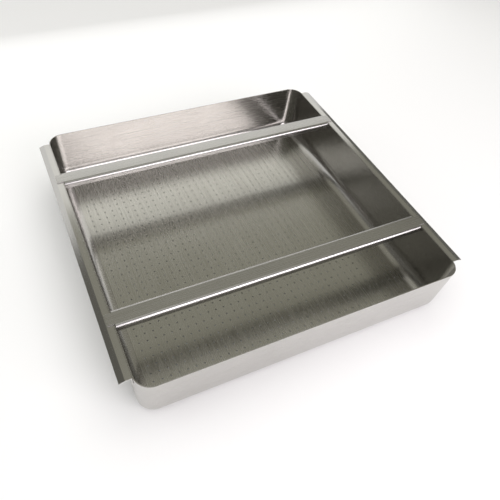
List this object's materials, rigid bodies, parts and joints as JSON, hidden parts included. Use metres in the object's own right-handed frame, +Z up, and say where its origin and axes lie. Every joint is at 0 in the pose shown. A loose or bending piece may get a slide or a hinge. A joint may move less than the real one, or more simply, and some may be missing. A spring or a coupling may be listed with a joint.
{
  "type": "perforated sink basket tray with slide bars",
  "caption": "Square stainless steel basket tray with a perforated floor, outward side rails and two slide bars across the top.",
  "frame": {"origin": "on the ground under the middle of the basket", "axes": "+Z up, +X along the slide bars towards the right rail, +Y from the front wall to the rear wall"},
  "size_m": [0.534, 0.5, 0.093],
  "materials": {
    "satin_steel": "satin stainless sheet, faint grain",
    "perforated_steel": "perforated stainless sheet, fine straight grain",
    "bar_steel": "satin stainless sheet, grain along the bar"
  },
  "bodies": {
    "root": {"basket_shell": "satin_steel", "floor_panel": "perforated_steel", "left_rail": "satin_steel", "right_rail": "satin_steel", "front_slide_bar": "bar_steel", "rear_slide_bar": "bar_steel"}
  },
  "joints": []
}
